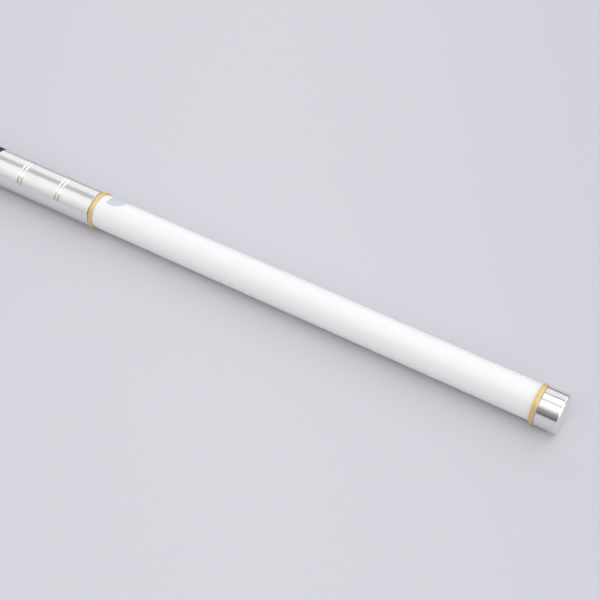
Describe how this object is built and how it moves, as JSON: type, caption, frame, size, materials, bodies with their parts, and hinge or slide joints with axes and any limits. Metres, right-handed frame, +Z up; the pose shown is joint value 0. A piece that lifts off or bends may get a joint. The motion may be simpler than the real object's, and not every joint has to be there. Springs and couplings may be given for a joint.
{
  "type": "telescoping white cane",
  "caption": "Collapsed telescoping white cane: white handle tube, polished butt cap, gold trim rings, grooved twist-lock collar, nested sections and a rolling tip.",
  "frame": {"origin": "on the plane the cane lies on, under the middle of its collapsed length", "axes": "+X along the cane towards the butt cap, -X towards the rolling tip, +Z up from the surface it lies on"},
  "size_m": [0.5392, 0.0278, 0.0279],
  "materials": {
    "white_lacquer": "gloss",
    "polished_aluminium": "polished",
    "gold_trim": "polished",
    "black_rubber": "matte",
    "black_plastic": "satin",
    "acetal": "satin",
    "brass": "satin",
    "steel": "satin",
    "red_tape": "gloss",
    "label_film": "satin",
    "white_nylon": "satin"
  },
  "bodies": {
    "handle": {"butt_cap": "polished_aluminium", "butt_plug": "black_plastic", "cap_o_ring": "black_rubber", "cap_trim_ring": "gold_trim", "handle_tube": "white_lacquer", "blank_label": "label_film", "collar_trim_ring": "gold_trim", "lock_body": "brass", "thrust_washer": "steel", "lock_collet": "acetal"},
    "collar": {"lock_collar": "polished_aluminium", "collar_wiper": "black_rubber"},
    "section_1": {"section_1_tube": "white_lacquer", "section_1_bush": "acetal", "section_1_ferrule": "polished_aluminium", "section_1_grip_ring": "black_rubber"},
    "section_2": {"section_2_tube": "white_lacquer", "section_2_bush": "acetal", "section_2_ferrule": "polished_aluminium", "section_2_grip_ring": "black_rubber"},
    "section_3": {"section_3_tube": "white_lacquer", "section_3_bush": "acetal", "red_band": "red_tape", "tip_socket": "black_plastic", "tip_screw": "steel", "tip_nut": "steel"},
    "tip": {"rolling_tip": "white_nylon", "tip_bearing_inner": "brass", "tip_bearing_outer": "brass"}
  },
  "joints": [
    {"name": "collar_turn", "type": "hinge", "parent": "handle", "child": "collar", "pos_m": [-0.12, 0, 0.01393], "axis": [1, 0, 0], "range_deg": [0, 90]},
    {"name": "section_1_slide", "type": "slide", "parent": "handle", "child": "section_1", "axis": [-1, 0, 0], "range_m": [0, 0.309]},
    {"name": "section_2_slide", "type": "slide", "parent": "section_1", "child": "section_2", "axis": [-1, 0, 0], "range_m": [0, 0.378]},
    {"name": "section_3_slide", "type": "slide", "parent": "section_2", "child": "section_3", "axis": [-1, 0, 0], "range_m": [0, 0.387]},
    {"name": "tip_spin", "type": "hinge", "parent": "section_3", "child": "tip", "pos_m": [-0.25, 0, 0.01393], "axis": [1, 0, 0], "continuous": true}
  ]
}
